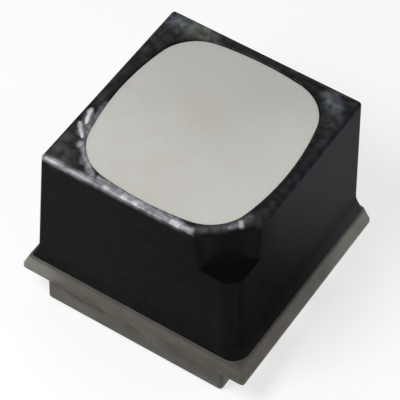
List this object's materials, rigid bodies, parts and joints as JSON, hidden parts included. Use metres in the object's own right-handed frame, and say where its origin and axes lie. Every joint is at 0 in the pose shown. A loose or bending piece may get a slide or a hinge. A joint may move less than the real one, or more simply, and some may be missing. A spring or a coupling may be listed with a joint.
{
  "type": "rgb led",
  "caption": "Surface-mount red, green and blue light source: milky window in a tall black housing with a cut corner, on a grey flanged base.",
  "frame": {"origin": "centre of the footprint, on the plane of the solder pads", "axes": "+Z the way the light leaves; +X across the lead sides; the cut corner that marks pin 1 is at +X -Y"},
  "size_m": [0.0036, 0.0032, 0.0029],
  "materials": {
    "black_housing": "glossy moulded black",
    "grey_moulding": "matt moulded warm grey",
    "milky_resin": "milky, finely frosted",
    "lead_plating": "silver plated, satin",
    "red_die": "sawn wafer",
    "green_die": "sawn wafer",
    "blue_die": "sawn wafer",
    "silver_paste": "cured paste",
    "clear_adhesive": "cured drop",
    "gold_wire": "drawn wire"
  },
  "bodies": {
    "root": {"housing": "black_housing", "base_moulding": "grey_moulding", "encapsulant": "milky_resin", "lead_1": "lead_plating", "lead_2": "lead_plating", "lead_3": "lead_plating", "lead_4": "lead_plating", "lead_5": "lead_plating", "lead_6": "lead_plating", "red_chip": "red_die", "green_chip": "green_die", "blue_chip": "blue_die", "red_adhesive": "silver_paste", "green_adhesive": "clear_adhesive", "blue_adhesive": "clear_adhesive", "red_wire": "gold_wire", "green_wire_far": "gold_wire", "green_wire_near": "gold_wire", "blue_wire_far": "gold_wire", "blue_wire_near": "gold_wire"}
  },
  "joints": []
}
